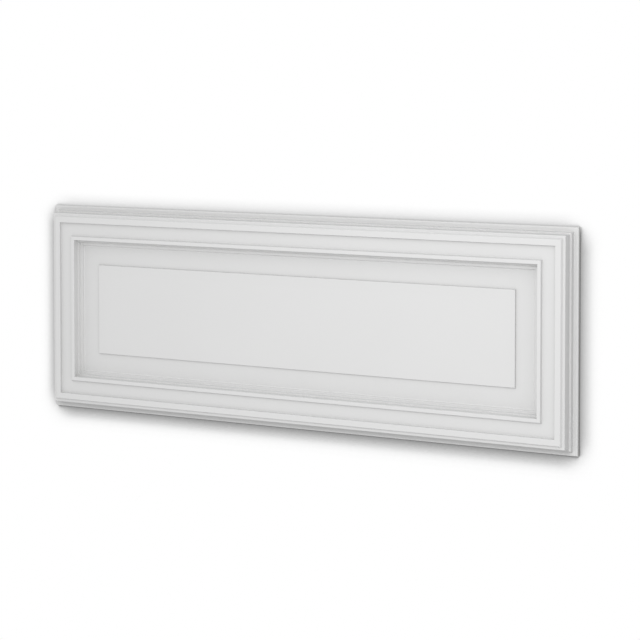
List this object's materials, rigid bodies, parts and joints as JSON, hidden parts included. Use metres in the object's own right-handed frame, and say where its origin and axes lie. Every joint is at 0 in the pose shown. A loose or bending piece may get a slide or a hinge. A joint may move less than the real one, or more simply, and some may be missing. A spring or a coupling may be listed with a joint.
{
  "type": "wall panel",
  "caption": "Long rectangular decorative wall panel with a stepped, mitred frame moulding round a recessed flat field with a slightly raised centre.",
  "frame": {"origin": "centre of the flat back face, which lies on the floor", "axes": "+X along the panel's length, +Y up the wall when the panel is mounted, +Z out of the wall through the moulded front"},
  "size_m": [0.837, 0.3, 0.027],
  "materials": {
    "primed_foam": "smooth white primer on rigid polyurethane foam, matte to satin"
  },
  "bodies": {
    "root": {"wall_panel": "primed_foam"}
  },
  "joints": []
}
